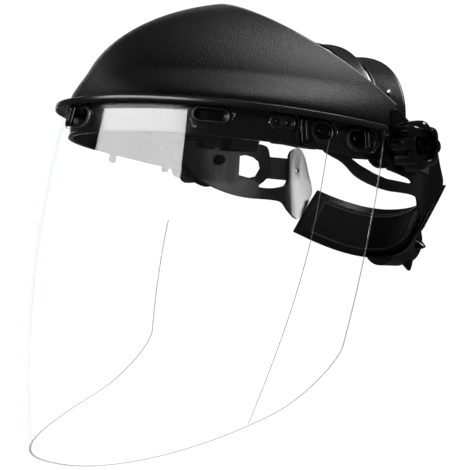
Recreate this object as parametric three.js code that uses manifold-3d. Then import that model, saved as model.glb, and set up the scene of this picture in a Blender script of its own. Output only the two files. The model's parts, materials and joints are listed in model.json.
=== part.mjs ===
// Tilting face shield: crown and window on a ratchet headgear.
// Millimetres, +Z up, the wearer faces -Y and the wearer's left is +X.
// The origin is the middle of the axis the shield tilts about.
import * as THREE from 'three';
import { mergeVertices } from 'three/addons/utils/BufferGeometryUtils.js';
import Module from 'manifold-3d';

const wasm = await Module();
wasm.setup();

// ---------------------------------------------------------------- driving dimensions
const GAP = 0.35;                  // clearance left between touching pieces

// brow band: half width, reach to the front and roundness of its plan
const PLAN = { side: 94.7, front: 156.2, power: 2.065 };
const RIM_Z = 22;                  // height of the rim at the front
const RIM_SLOPE = 6;               // fall of the rim toward the ears, straight part
const RIM_BOW = 7;                 // and its curved part
const BAND_HEIGHT = 20;
const BAND_WALL = 2.6;
const BAND_END = 86;               // plan angle where the band stops
const BAND_RIB = { high: -18.1, low: -19.9, rise: 0.4 };
const LIP = { side: 10.2, front: 8.2, end: 84.5, half: 1.5, droop: 2.2 };

// crown: its dome stands on the band plan
const CROWN = {
  side: 99.6, front: 155.4, height: 73.5, wall: 2.4, back: 7,
  sidePower: 1.5, frontPower: 2.02, basePower: 2.06, topPower: 1.63, end: 85.6,
};
const CROWN_CUT = { start: 16, lean: -116.9, curve: 33.8 };
const EAR = { x: 97.0, thick: 2.6 };

// window: the lens sheet that hangs from the brow band
const WINDOW = {
  gap: 0.7, thick: 1.3, height: 203, top: 0.014, endAngle: 86.3,
  cornerAngle: 15.3, cornerStart: 0.88, lean: -28.1, squarer: 0.313,
  sideSwell: 21.9, sideTuck: -26.6, frontSwell: 24.8, frontTuck: -37.9,
  hemRise: 49.3, hemBow: 19.25,
};

// oval bosses on the band: plan angle, length, height, and the middle's height over the band's foot
const BOSSES = [
  { deg: -3, long: 25, tall: 12, up: 9.5 },
  { deg: 43, long: 22, tall: 9.5, up: 11.5 },
  { deg: 60.6, long: 16.5, tall: 8.5, up: 12 },
  { deg: 70.2, long: 15, tall: 12.5, up: 10.2 },
  { deg: 80, long: 21, tall: 12.5, up: 9.6 },
  { deg: -43, long: 22, tall: 9.5, up: 11.5 },
  { deg: -57, long: 15, tall: 8.5, up: 12 },
  { deg: -67, long: 15, tall: 12.5, up: 10.2 },
  { deg: -80, long: 21, tall: 12.5, up: 9.6 },
];
const BOSS_RISE = 3.0;
const BOSS_RING = 2.0;

// hooks that hold the window on the bosses
const HOOKS = [
  { name: 'window_hook_centre', deg: -4, wide: 8, up: 10, tall: 13 },
  { name: 'window_hook_left_1', deg: 65.3, wide: 6.5, up: 8.2, tall: 16 },
  { name: 'window_hook_left_2', deg: 80.4, wide: 4.5, up: 9.2, tall: 13 },
  { name: 'window_hook_right_1', deg: -62, wide: 6.5, up: 5.6, tall: 19 },
  { name: 'window_hook_right_2', deg: -80.4, wide: 6.0, up: 6.4, tall: 17 },
];
const HOOK_OUT = 5.0;               // how far the hook plates stand off the band
const HOOK_THICK = 1.8;
const STEM = { half: 1.6, up: 10.4, tall: 3 };

// headgear ring: a head-shaped oval the frame pieces follow
const RING = { half: 77, reach: 88.5, middle: -3.3, power: 2.15 };
const FRAME_WALL = 2.2;
const FLARE_Z = -14;               // below this the frame leans in toward the neck
const FLARE = 0.154;
const YOKE_X = 62;                 // the side arms run straight back here, past the ring
const YOKE_BLEND = 3;

// front headband: plan angle of its ends, and heights of its edges at the front and at the ends
const HEADBAND = { end: 66, topFront: 25, topEnd: 14, lowFront: 3, lowEnd: -3 };
const SWEATBAND = { end: 60, topFront: 27, topEnd: 16, lowFront: 1, lowEnd: -4, thick: 5 };

// nape band: a cone wrapped round the back of the head
const NAPE = {
  topBack: -31, topEnd: -17, lowBack: -64, lowEnd: -47,
  topAngle: 41, lowAngle: 51.5, wall: 2.0, offset: 9.3, refZ: -18, slope: 0.44,
  flareStart: 0.84, flare: 3,      // the band's ends turn out from here, by this much
};
const PAD_THICK = 4.5;

// tilt pivots and their knobs
const PIVOT = {
  postRadius: 8.5, flangeRadius: 12, boltRadius: 3.2, boltHead: 5.4, hexKey: 2.4, washerRadius: 14,
  knobX: 102, knobDepth: 17, socketDepth: 4.5,
};
const KNOB = { core: 11.8, lobes: 8, lobeRadius: 3.3, lobeMiddle: 11.6, socket: 9.2 };

// size adjusting ratchet at the back
const RATCHET = {
  z: -51.5, housingRadius: 17.5, housingFront: 78, housingBack: 94, wing: 20, bore: 5.4, shaft: 4.4,
  knobRadius: 15.5, knobTip: 22, knobDepth: 9.5, spikes: 6, turn: -72,
};
// racks: plan angles of the two ends, heights of their top edge there, width and thickness
const RACK = { start: 141, end: 168, lowAngle: 131, high: -31, low: -43.6, wide: 11, thick: 1.6 };

// straps over the head
const TOP_FRONT = { y0: -10, yTop: 10, half: 73, rise: 66.5, wide: 16 };
const TOP_REAR = { y0: 15.5, yTop: 37.5, half: 70.9, rise: 61.5, wide: 24 };
const STRAP_THICK = 1.6;
const STRAP_ENDS = [3, 177];       // angles round the arch where a strap starts and stops
const STRAP_FOOT = 4;              // height of the ellipse centre the straps follow
const PIN = { angle: 31, back: -1.5 };  // where a pin stands on the rear strap

// ---------------------------------------------------------------- colours
const finish = {
  crown: { color: 0x2e2e30, roughness: 0.72, metalness: 0 },
  lip: { color: 0x3c3c3e, roughness: 0.45, metalness: 0 },
  band: { color: 0x151516, roughness: 0.42, metalness: 0 },
  window: { color: 0xf2f5f6, roughness: 0.04, metalness: 0, opacity: 0.12, transparent: true },
  hook: { color: 0x1c1c1d, roughness: 0.35, metalness: 0 },
  frame: { color: 0x18181a, roughness: 0.38, metalness: 0 },
  knob: { color: 0x0d0d0e, roughness: 0.22, metalness: 0 },
  pad: { color: 0x3a3a3c, roughness: 0.9, metalness: 0 },
  strap: { color: 0x202022, roughness: 0.5, metalness: 0 },
  metal: { color: 0xb8b8ba, roughness: 0.3, metalness: 1 },
};

// ---------------------------------------------------------------- small tools
const rad = (deg) => (deg * Math.PI) / 180;
const mix = (a, b, t) => a + (b - a) * t;
const limit = (v, lo, hi) => Math.min(hi, Math.max(lo, v));
const ease = (t) => t * t * (3 - 2 * t);
const curl = (value, power) => Math.sign(value) * Math.abs(value) ** power;

function oval(deg, halfWide, halfLong, power) {
  const e = 2 / power;
  return [halfWide * curl(Math.sin(rad(deg)), e), -halfLong * curl(Math.cos(rad(deg)), e)];
}

function geometryOf(points, faces) {
  const geometry = new THREE.BufferGeometry();
  geometry.setAttribute('position', new THREE.Float32BufferAttribute(points, 3));
  geometry.setIndex(faces);
  let volume = 0;
  const at = (i) => new THREE.Vector3(points[3 * i], points[3 * i + 1], points[3 * i + 2]);
  for (let i = 0; i < faces.length; i += 3) {
    volume += at(faces[i]).dot(at(faces[i + 1]).cross(at(faces[i + 2])));
  }
  if (volume < 0) {
    for (let i = 0; i < faces.length; i += 3) {
      [faces[i + 1], faces[i + 2]] = [faces[i + 2], faces[i + 1]];
    }
    geometry.setIndex(faces);
  }
  return geometry;
}

// A closed sheet between two faces, each a function of u and v in 0..1.
function wall(nu, nv, outer, inner) {
  const points = [];
  const faces = [];
  const size = (nu + 1) * (nv + 1);
  const id = (face, i, j) => face * size + j * (nu + 1) + i;
  const quad = (a, b, c, d) => faces.push(a, b, c, a, c, d);
  for (const face of [outer, inner]) {
    for (let j = 0; j <= nv; j++) {
      for (let i = 0; i <= nu; i++) points.push(...face(i / nu, j / nv));
    }
  }
  for (let j = 0; j < nv; j++) {
    for (let i = 0; i < nu; i++) {
      quad(id(0, i, j), id(0, i + 1, j), id(0, i + 1, j + 1), id(0, i, j + 1));
      quad(id(1, i, j + 1), id(1, i + 1, j + 1), id(1, i + 1, j), id(1, i, j));
    }
  }
  for (let i = 0; i < nu; i++) {
    quad(id(1, i, 0), id(1, i + 1, 0), id(0, i + 1, 0), id(0, i, 0));
    quad(id(0, i, nv), id(0, i + 1, nv), id(1, i + 1, nv), id(1, i, nv));
  }
  for (let j = 0; j < nv; j++) {
    quad(id(0, 0, j), id(0, 0, j + 1), id(1, 0, j + 1), id(1, 0, j));
    quad(id(1, nu, j), id(1, nu, j + 1), id(0, nu, j + 1), id(0, nu, j));
  }
  return geometryOf(points, faces);
}

// A closed bar: the section, a list of [a, b] pairs, is carried along by place(t, a, b).
function bar(steps, section, place) {
  const n = section.length;
  const points = [];
  const faces = [];
  for (let k = 0; k <= steps; k++) {
    for (const [a, b] of section) points.push(...place(k / steps, a, b));
  }
  for (let k = 0; k < steps; k++) {
    for (let i = 0; i < n; i++) {
      const j = (i + 1) % n;
      const row = k * n;
      faces.push(row + i, row + j, row + n + j, row + i, row + n + j, row + n + i);
    }
  }
  for (let i = 1; i < n - 1; i++) {
    faces.push(0, i + 1, i);
    faces.push(steps * n, steps * n + i, steps * n + i + 1);
  }
  return geometryOf(points, faces);
}

function toSolid(geometry) {
  const plain = geometry.clone();
  plain.deleteAttribute('normal');
  plain.deleteAttribute('uv');
  const merged = mergeVertices(plain, 1e-4);
  return new wasm.Manifold(new wasm.Mesh({
    numProp: 3,
    vertProperties: Float32Array.from(merged.attributes.position.array),
    triVerts: Uint32Array.from(merged.index.array),
  }));
}

function toGeometry(solid) {
  const mesh = solid.getMesh();
  const geometry = new THREE.BufferGeometry();
  geometry.setAttribute('position', new THREE.BufferAttribute(mesh.vertProperties, 3));
  geometry.setIndex(new THREE.BufferAttribute(mesh.triVerts, 1));
  return geometry;
}

const join = (first, ...rest) => toGeometry(rest.reduce((s, g) => s.add(toSolid(g)), toSolid(first)));
const cut = (first, ...rest) => toGeometry(rest.reduce((s, g) => s.subtract(toSolid(g)), toSolid(first)));
const common = (first, second) => toGeometry(toSolid(first).intersect(toSolid(second)));

function cylinder(radiusA, radiusB, length, sides = 32) {
  return new THREE.CylinderGeometry(radiusA, radiusB, length, sides);
}

// A cylinder along X from x0 to x1.
function rod(radius, x0, x1, y = 0, z = 0, sides = 28, endRadius = radius) {
  const geometry = cylinder(radius, endRadius, Math.abs(x1 - x0), sides);
  geometry.rotateZ(x1 > x0 ? Math.PI / 2 : -Math.PI / 2);
  geometry.translate((x0 + x1) / 2, y, z);
  return geometry;
}

// A cylinder along Y from y0 to y1.
function post(radius, y0, y1, x = 0, z = 0, sides = 28) {
  const geometry = cylinder(radius, radius, y1 - y0, sides);
  geometry.translate(x, (y0 + y1) / 2, z);
  return geometry;
}

function box(x0, x1, y0, y1, z0, z1) {
  const geometry = new THREE.BoxGeometry(x1 - x0, y1 - y0, z1 - z0);
  geometry.translate((x0 + x1) / 2, (y0 + y1) / 2, (z0 + z1) / 2);
  return geometry;
}

// A flat outline in the Y-Z plane, pulled out along X from x0 to x1.
function sidePlate(outline, x0, x1) {
  const shape = new THREE.Shape(outline);
  const geometry = new THREE.ExtrudeGeometry(shape, { depth: Math.abs(x1 - x0), bevelEnabled: false });
  const turn = new THREE.Matrix4().makeBasis(
    new THREE.Vector3(0, 1, 0), new THREE.Vector3(0, 0, 1), new THREE.Vector3(1, 0, 0));
  geometry.applyMatrix4(turn);
  geometry.translate(Math.min(x0, x1), 0, 0);
  return geometry;
}

// A smooth closed outline through corner points.
function smoothOutline(corners, count) {
  const curve = new THREE.CatmullRomCurve3(
    corners.map(([y, z]) => new THREE.Vector3(y, z, 0)), true, 'centripetal');
  return curve.getPoints(count).slice(0, -1).map((p) => new THREE.Vector2(p.x, p.y));
}

// A rounded slot outline, long by tall, about a middle point.
function slotOutline(long, tall, sides = 6, y = 0, z = 0) {
  const r = tall / 2;
  const reach = long / 2 - r;
  const points = [];
  for (const end of [1, -1]) {
    for (let k = 0; k <= sides; k++) {
      const angle = -Math.PI / 2 + (Math.PI * k) / sides;
      points.push(new THREE.Vector2(y + end * (reach + r * Math.cos(angle)), z + end * r * Math.sin(angle)));
    }
  }
  return points;
}

const mirrored = (geometry) => {
  const flipped = geometry.clone();
  flipped.deleteAttribute('normal');
  flipped.deleteAttribute('uv');
  const whole = mergeVertices(flipped, 1e-4);
  const points = Array.from(whole.attributes.position.array);
  for (let i = 0; i < points.length; i += 3) points[i] = -points[i];
  return geometryOf(points, Array.from(whole.index.array));
};

// ---------------------------------------------------------------- shield surfaces
// Fall of the rim between the front and the ears.
function rimFall(y) {
  const u = (y + PLAN.front) / PLAN.front;
  return -RIM_SLOPE * u - RIM_BOW * u * u;
}

// A point of the brow band's plan, pushed out and lifted from the rim.
function bandPoint(deg, outSide, outFront, lift) {
  const [x, y] = oval(deg, PLAN.side + outSide, PLAN.front + outFront, PLAN.power);
  const [, yBand] = oval(deg, PLAN.side, PLAN.front, PLAN.power);
  return [x, y, RIM_Z + lift + rimFall(yBand)];
}

function windowPoint(v, deg, out) {
  const side = PLAN.side + WINDOW.gap + out + WINDOW.sideSwell * v + WINDOW.sideTuck * v * v;
  const front = PLAN.front + WINDOW.gap + out + WINDOW.frontSwell * v + WINDOW.frontTuck * v * v;
  const [x, y0] = oval(deg, side, front, PLAN.power + WINDOW.squarer * v);
  const y = y0 + WINDOW.lean * v;
  const u = (y + PLAN.front) / PLAN.front;
  const fall = mix(-RIM_SLOPE, WINDOW.hemRise, v) * u + mix(-RIM_BOW, WINDOW.hemBow, v) * u * u;
  return [x, y, RIM_Z - WINDOW.height * v + fall];
}

// A point of the crown: s is the height fraction, inset moves it into the wall.
function crownPoint(s, deg, inset) {
  const power = mix(CROWN.basePower, CROWN.topPower, ease(limit(s / 0.25, 0, 1)));
  const side = (CROWN.side - inset) * (1 - s ** CROWN.sidePower) ** (1 / CROWN.sidePower);
  const front = (CROWN.front + CROWN.back - inset) * (1 - s ** CROWN.frontPower) ** (1 / CROWN.frontPower);
  const [x, y] = oval(deg, side, front, power);
  const z = RIM_Z + mix(LIP.half + 2 * GAP, CROWN.height - inset, s);
  return [x, y + CROWN.back, z + rimFall(Math.min(y + CROWN.back, 6)) * (1 - s) ** 2];
}

// Height fraction where the crown's open edge crosses a plan angle.
function crownTop(deg) {
  let low = 0;
  let high = 0.985;
  for (let k = 0; k < 30; k++) {
    const s = (low + high) / 2;
    const edge = CROWN_CUT.start + CROWN_CUT.lean * s + CROWN_CUT.curve * s * s;
    if (crownPoint(s, deg, 0)[1] < edge) low = s;
    else high = s;
  }
  return Math.max(low, 0.03);
}

// A frame that stands on the band at a plan angle: x along the band, y up, z out.
function bandFrame(deg, up, out) {
  const here = new THREE.Vector3(...bandPoint(deg, out, out, up - BAND_HEIGHT));
  const next = new THREE.Vector3(...bandPoint(deg + 0.5, out, out, up - BAND_HEIGHT));
  const along = next.clone().sub(here).setZ(0).normalize();
  const upward = new THREE.Vector3(0, 0, 1);
  const outward = new THREE.Vector3().crossVectors(along, upward);
  const frame = new THREE.Matrix4().makeBasis(along, upward, outward);
  frame.setPosition(here);
  return frame;
}

function bossBlock(boss, grow, depth0, depth1) {
  const outline = slotOutline(boss.long + 2 * grow, boss.tall + 2 * grow, 5);
  const geometry = new THREE.ExtrudeGeometry(new THREE.Shape(outline),
    { depth: depth1 - depth0, bevelEnabled: false });
  geometry.translate(0, 0, depth0);
  return geometry.applyMatrix4(bandFrame(boss.deg, boss.up, 0));
}

// ---------------------------------------------------------------- shield pieces
function crown() {
  const point = (inset) => (u, v) => {
    const deg = mix(-CROWN.end, CROWN.end, u);
    return crownPoint(crownTop(deg) * v ** 0.85, deg, inset);
  };
  const dome = wall(40, 9, point(0), point(CROWN.wall));
  const outline = smoothOutline([
    [-9, 17], [-6, 22], [3, 17], [13, 10], [17, 0], [15, -10], [9, -17], [0, -16.5], [-7, -12], [-9.4, 0],
  ], 36);
  const hole = slotOutline(8.4, 8.4, 8);
  const ear = cut(sidePlate(outline, EAR.x, EAR.x + EAR.thick), sidePlate(hole, EAR.x - 5, EAR.x + 9));
  return join(dome, ear, mirrored(ear));
}

function rimLip() {
  const section = [];
  const { half } = LIP;
  for (let k = 0; k <= 4; k++) {
    const angle = -Math.PI / 2 + (Math.PI * k) / 4;
    section.push([1 + 0.15 * Math.cos(angle) - 0.15, half * Math.sin(angle)]);
  }
  section.push([0.55, half], [0, half], [0, -half], [0.55, -half]);
  return bar(52, section, (t, a, b) => {
    const deg = mix(-LIP.end, LIP.end, t);
    const droop = LIP.droop * limit((a - 0.35) / 0.65, 0, 1) ** 2;
    return bandPoint(deg, mix(-BAND_WALL, LIP.side, a), mix(-BAND_WALL, LIP.front, a), b - droop);
  });
}

function browBand() {
  const top = -LIP.half - GAP;
  const strip = (high, low) => (out) => (u, v) => bandPoint(
    mix(-BAND_END, BAND_END, u), out, out, mix(high, low, v));
  const whole = strip(top, -BAND_HEIGHT);
  const rib = strip(BAND_RIB.high, BAND_RIB.low);
  const band = wall(40, 1, whole(0), whole(-BAND_WALL));
  const shell = wall(40, 1, whole(BOSS_RISE), whole(-1));
  let solid = toSolid(band);
  for (const boss of BOSSES) {
    const ring = cut(bossBlock(boss, 0, -6, 12), bossBlock(boss, -BOSS_RING, -7, 13));
    solid = solid.add(toSolid(common(ring, shell)));
  }
  solid = solid.add(toSolid(wall(40, 1, rib(BAND_RIB.rise), rib(-1))));
  return toGeometry(solid);
}

function windowSheet() {
  const place = (out) => (u, v) => {
    const h = mix(WINDOW.top, 1, 1 - (1 - v) ** 2);
    const d = limit((h - WINDOW.cornerStart) / (1 - WINDOW.cornerStart), 0, 1);
    const end = WINDOW.endAngle - WINDOW.cornerAngle * (1 - Math.sqrt(Math.max(0, 1 - d * d)));
    return windowPoint(h, mix(-end, end, u), out);
  };
  const sheet = wall(40, 12, place(WINDOW.thick), place(0));
  const stems = HOOKS.map((hook) => stemBlock(hook, GAP, -3, 12));
  return cut(sheet, ...BOSSES.map((boss) => bossBlock(boss, 0.6, -8, 14)), ...stems);
}

function stemBlock(hook, grow, depth0, depth1) {
  const half = STEM.half + grow;
  const tall = STEM.tall / 2 + grow;
  const stem = box(-half, half, STEM.up - hook.up - tall, STEM.up - hook.up + tall, depth0, depth1);
  return stem.applyMatrix4(bandFrame(hook.deg, hook.up, 0));
}

function windowHook(hook) {
  const plate = box(-hook.wide / 2, hook.wide / 2, -hook.tall / 2, hook.tall / 2,
    HOOK_OUT, HOOK_OUT + HOOK_THICK);
  plate.translate(0, 0, -HOOK_OUT);
  plate.rotateX(-rad(8 + 7 * Math.cos(rad(hook.deg)) ** 2));
  plate.translate(0, 0, HOOK_OUT);
  plate.applyMatrix4(bandFrame(hook.deg, hook.up, 0));
  return join(plate, stemBlock(hook, 0, GAP + 0.05, HOOK_OUT + 1));
}

// ---------------------------------------------------------------- headgear surfaces
// A point of the head-shaped ring, pushed out by off.
function ringPoint(deg, off, z) {
  const [x, y] = oval(deg, RING.half + off, RING.reach + off, RING.power);
  return [x, y + RING.middle, z];
}

// A point of a side arm: on the ring, then straight back where the ring turns in.
function armPoint(side, deg, off, z) {
  const [x, y] = ringPoint(side * deg, 0, z);
  const past = Math.abs(x) - YOKE_X;
  const half = YOKE_X + (past + Math.hypot(past, YOKE_BLEND)) / 2;
  return [side * (half + off), y, z];
}

const frameLean = (z) => FLARE * Math.min(0, z - FLARE_Z);
const napeLean = (z) => NAPE.offset + NAPE.slope * (z - NAPE.refZ);

// The part of an arm's skin, from off0 to off1, that lies under a side outline.
function armPiece(side, outline, holes, off0, off1) {
  const levels = [34, FLARE_Z, -60];
  const skin = (off) => (u, v) => {
    const z = levels[Math.round(v * 2)];
    return armPoint(side, mix(48, 160, u), off + frameLean(z), z);
  };
  const slab = sidePlate(outline, side * 10, side * 100);
  const body = common(wall(44, 2, skin(off1), skin(off0)), slab);
  return holes.length ? cut(body, ...holes.map((hole) => sidePlate(hole, side * 5, side * 105))) : body;
}

// ---------------------------------------------------------------- headgear pieces
// A band inside the ring's front, tall in the middle and narrower toward its ends.
function browStrip(steps, shape, outer, inner) {
  const place = (off) => (u, v) => {
    const deg = mix(-shape.end, shape.end, u);
    const side = ease(limit((Math.abs(deg) - 30) / 36, 0, 1));
    const top = mix(shape.topFront, shape.topEnd, side);
    const low = mix(shape.lowFront, shape.lowEnd, side);
    return ringPoint(deg, off, mix(top, low, v));
  };
  return wall(steps, 1, place(outer), place(inner));
}

function frontHeadband() {
  const inner = -FRAME_WALL - GAP;
  return browStrip(48, HEADBAND, inner + FRAME_WALL - 0.2, inner);
}

function sweatband() {
  const outer = -FRAME_WALL - 2 * GAP;
  return browStrip(40, SWEATBAND, outer, outer - SWEATBAND.thick);
}

// The arm's outlines are lists of [y, z]. The two arms differ where the shield's weight bears.
const corners = (pairs) => pairs.map(([y, z]) => new THREE.Vector2(y, z));

function sideArm(side) {
  const left = side > 0;
  const notch = left
    ? [[38.7, 4], [38.7, -5], [40.5, -9.5], [45, -10.5], [50, -8]]
    : [[38.7, 4], [38.7, -8], [35, -13], [31, -16.6], [37.5, -17.5], [45, -16.5], [50, -14]];
  const yoke = [
    [51.1, 0], [52.3, 8], [58.4, 11.3], [63.5, 6.5], [67.6, -5.4], [71, -17.4],
    [68.6, -23.5], [62.8, -31.5], [56, -38.3], [50, -33], [46.3, -27], [39.5, -25.6], [24.5, -25],
  ];
  const lowFront = left
    ? [[11, -24.5], [-5, -21.5], [-17, -17], [-26, -10]]
    : [[11, -23], [-6.5, -18], [-19, -12.5], [-29, -5]];
  const top = [[-40, -2], [-40, 12], [-31, 15], [5, 15], [26, 13], [36.5, 11]];
  const outline = smoothOutline([...top, ...notch, ...yoke, ...lowFront], 104);
  const behindPivot = corners([
    [17, 3.6], [16.6, -9.5], [24.5, -11], [30, -9.5], [33, -4], [32, 0.6], [28, 3.4], [22.5, 4.6],
  ]);
  const underPivot = corners([
    [-21, -7.2], [4, -7], [9, -12], [32, -16.2], [36, -17.9],
    [32, -19], [8, -17.6], [-4, -14.8], [-15, -10.6],
  ]);
  const napePinHole = slotOutline(2.8, 2.8, 6, 57.7, -4.3);
  const boltBore = 2 * (PIVOT.boltRadius + GAP);
  const holes = [behindPivot, napePinHole, slotOutline(boltBore, boltBore, 8)];
  if (left) holes.push(underPivot);
  return armPiece(side, outline, holes, 0, FRAME_WALL);
}

function bridgeTab(side) {
  const outline = corners([[35, 4.6], [54.4, 3.6], [54.4, -11.6], [35, -10.4]]);
  return armPiece(side, outline, [], FRAME_WALL + GAP, FRAME_WALL + GAP + 1.8);
}

const armHalfAtPivot = () => Math.abs(armPoint(1, 90, 0, 0)[0]);
const pivotBore = (side) => rod(PIVOT.boltRadius + GAP, side * 60, side * 125, 0, 0, 24);

function pivotPost(side) {
  const x0 = armHalfAtPivot() + FRAME_WALL + GAP;
  const flange = rod(PIVOT.flangeRadius, side * x0, side * (x0 + 2.85), 0, 0, 36);
  const stem = rod(PIVOT.postRadius, side * x0, side * (EAR.x - 1.6), 0, 0, 32);
  return cut(join(stem, flange), pivotBore(side));
}

function tensionWasher(side) {
  const x = side * (EAR.x + EAR.thick + GAP);
  return cut(rod(PIVOT.washerRadius, x, x + side * 1.6, 0, 0, 36), pivotBore(side));
}

function tensionKnob(side) {
  const x0 = PIVOT.knobX;
  const x1 = x0 + PIVOT.knobDepth;
  const floor = x1 - PIVOT.socketDepth;
  const bore = PIVOT.boltRadius + GAP;
  const profile = [
    [bore, x0], [KNOB.core, x0], [KNOB.core + 1, x0 + 1], [KNOB.core + 0.6, x1 - 1.6], [KNOB.core - 0.4, x1],
    [KNOB.socket, x1], [KNOB.socket - 0.6, floor], [bore, floor], [bore, x0],
  ];
  const core = new THREE.LatheGeometry(profile.map(([r, x]) => new THREE.Vector2(r, x)), 36);
  core.rotateZ(-Math.PI / 2);
  const hollow = rod(KNOB.core - 1.8, x0 - 5, x1 + 5, 0, 0, 24);
  let solid = toSolid(core);
  for (let k = 0; k < KNOB.lobes; k++) {
    const lobe = rod(KNOB.lobeRadius, x0 + 1.2, x1 - 2.4, 0, KNOB.lobeMiddle, 12);
    lobe.rotateX(rad((360 * (k + 0.5)) / KNOB.lobes));
    solid = solid.add(toSolid(cut(lobe, hollow)));
  }
  const knob = toGeometry(solid);
  return side > 0 ? knob : mirrored(knob);
}

function pivotBolt(side) {
  const seat = PIVOT.knobX + PIVOT.knobDepth - PIVOT.socketDepth + GAP;
  const head = rod(PIVOT.boltHead, side * seat, side * (seat + 3), 0, 0, 24);
  const shank = rod(PIVOT.boltRadius, side * (RING.half - 3), side * (seat + 1), 0, 0, 24);
  const socket = rod(PIVOT.hexKey, side * (seat + 1.4), side * (seat + 4), 0, 0, 6);
  return cut(join(head, shank), socket);
}

function topStrap(strap) {
  const place = (out) => (u, v) => {
    const angle = rad(mix(...STRAP_ENDS, u));
    const s = Math.sin(angle);
    const y = mix(strap.y0, strap.yTop, s ** 1.3) + (v - 0.5) * strap.wide;
    return [(strap.half + out) * Math.cos(angle), y, STRAP_FOOT + (strap.rise + out) * s];
  };
  return wall(26, 1, place(STRAP_THICK), place(0));
}

// A round-headed pin that stands on a strap, square to it.
function topPin(strap, deg) {
  const head = { low: 1.7, high: 2.1, tall: 1.4 };
  const angle = rad(deg);
  const s = Math.sin(angle);
  const out = new THREE.Vector3(strap.rise * Math.cos(angle), 0, strap.half * s).normalize();
  const pin = cylinder(head.low, head.high, head.tall, 18);
  pin.applyQuaternion(new THREE.Quaternion().setFromUnitVectors(new THREE.Vector3(0, 1, 0), out));
  const stand = STRAP_THICK + GAP + head.tall / 2;
  const y = mix(strap.y0, strap.yTop, s ** 1.3) + PIN.back;
  pin.translate(strap.half * Math.cos(angle) + stand * out.x, y, STRAP_FOOT + strap.rise * s + stand * out.z);
  return pin;
}

// ---------------------------------------------------------------- nape unit
function napePoint(u, v, out) {
  const side = 2 * u - 1;
  const top = mix(NAPE.topBack, NAPE.topEnd, side * side);
  const low = mix(NAPE.lowBack, NAPE.lowEnd, side * side);
  const z = mix(top, low, v);
  const deg = 180 - side * mix(NAPE.topAngle, NAPE.lowAngle, v);
  return ringPoint(deg, napeLean(z) + out, z);
}

// The band's own ends turn out, away from the pad.
function napeBand() {
  const face = (out) => (u, v) => {
    const end = limit((Math.abs(2 * u - 1) - NAPE.flareStart) / (1 - NAPE.flareStart), 0, 1);
    return napePoint(u, v, out + NAPE.flare * end * end);
  };
  return wall(50, 3, face(NAPE.wall), face(0));
}

function napePad() {
  const endMargin = 0.02;
  const edgeMargin = 0.05;
  const face = (out) => (u, v) => napePoint(
    mix(endMargin, 1 - endMargin, u), mix(edgeMargin, 1 - edgeMargin, v), out);
  return wall(36, 3, face(-GAP), face(-GAP - PAD_THICK));
}

// A strip that follows the racks' path outside the nape band, from plan angle start to end.
function rackStrip(side, start, end, shape) {
  const place = (out) => (u, v) => {
    const deg = mix(start, end, u);
    const along = limit((deg - RACK.lowAngle) / (RACK.end - RACK.lowAngle), 0, 1);
    const z = mix(RACK.high, RACK.low, along ** 1.3) + shape.above - v * shape.wide;
    return ringPoint(side * deg, napeLean(z) + NAPE.wall + out, z);
  };
  return wall(24, 1, place(shape.outer), place(shape.inner));
}

function rackStrap(side) {
  return rackStrip(side, RACK.start, RACK.end,
    { above: 0, wide: RACK.wide, outer: GAP + RACK.thick, inner: GAP });
}

function ratchetHousing() {
  const y0 = RATCHET.housingFront;
  const y1 = RATCHET.housingBack;
  const drum = post(RATCHET.housingRadius, y0, y1, 0, RATCHET.z, 44);
  const wings = box(-RATCHET.wing, RATCHET.wing, y0, y1 - 3, RATCHET.z - 9, RATCHET.z + 9);
  const insideBand = (out) => (u, v) => napePoint(u, mix(-1, 2, v), out);
  const head = wall(30, 3, insideBand(NAPE.wall + GAP), insideBand(-20));
  const tunnels = [1, -1].map((side) => rackStrip(side, RACK.lowAngle, RACK.end + 1,
    { above: 0.6, wide: RACK.wide + 1.2, outer: RACK.thick + 2 * GAP, inner: -1 }));
  const bore = post(RATCHET.bore, y0 - 10, y1 + 4, 0, RATCHET.z, 28);
  return cut(join(drum, wings), head, bore, ...tunnels);
}

function ratchetKnob() {
  const y0 = RATCHET.housingBack + GAP;
  const y1 = y0 + RATCHET.knobDepth;
  const starDepth = 6.5;
  const spike = [   // share of a pitch from the spike's middle, and radius
    [-0.2, RATCHET.knobRadius], [-0.04, RATCHET.knobTip - 0.8], [0.03, RATCHET.knobTip],
    [0.09, RATCHET.knobTip - 1.6], [0.2, RATCHET.knobRadius], [0.5, RATCHET.knobRadius - 0.3],
  ];
  const outline = [];
  for (let k = 0; k < RATCHET.spikes; k++) {
    for (const [share, radius] of spike) {
      const angle = rad(RATCHET.turn + (360 * (k + share)) / RATCHET.spikes);
      outline.push(new THREE.Vector2(radius * Math.cos(angle), radius * Math.sin(angle)));
    }
  }
  const star = new THREE.ExtrudeGeometry(new THREE.Shape(outline), { depth: starDepth, bevelEnabled: false });
  star.rotateX(Math.PI / 2);
  star.translate(0, y1 - 1.5, RATCHET.z);
  const hub = post(RATCHET.knobRadius - 2, y0, y1, 0, RATCHET.z, 44);
  const dish = post(RATCHET.knobRadius - 6, y1 - 2, y1 + 2, 0, RATCHET.z, 36);
  const shaft = post(RATCHET.shaft, RATCHET.housingFront + 8, y0 + 2, 0, RATCHET.z, 24);
  return join(cut(join(star, hub), dish), shaft);
}

// ---------------------------------------------------------------- the assembly
const object = new THREE.Group();
object.name = 'face_shield';

function group(name) {
  const part = new THREE.Group();
  part.name = name;
  object.add(part);
  return part;
}

function piece(parent, name, geometry, kind) {
  const flat = geometry.index ? geometry : mergeVertices(geometry);
  const mesh = new THREE.Mesh(flat, new THREE.MeshStandardMaterial(finish[kind]));
  mesh.name = name;
  parent.add(mesh);
  return mesh;
}

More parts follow.
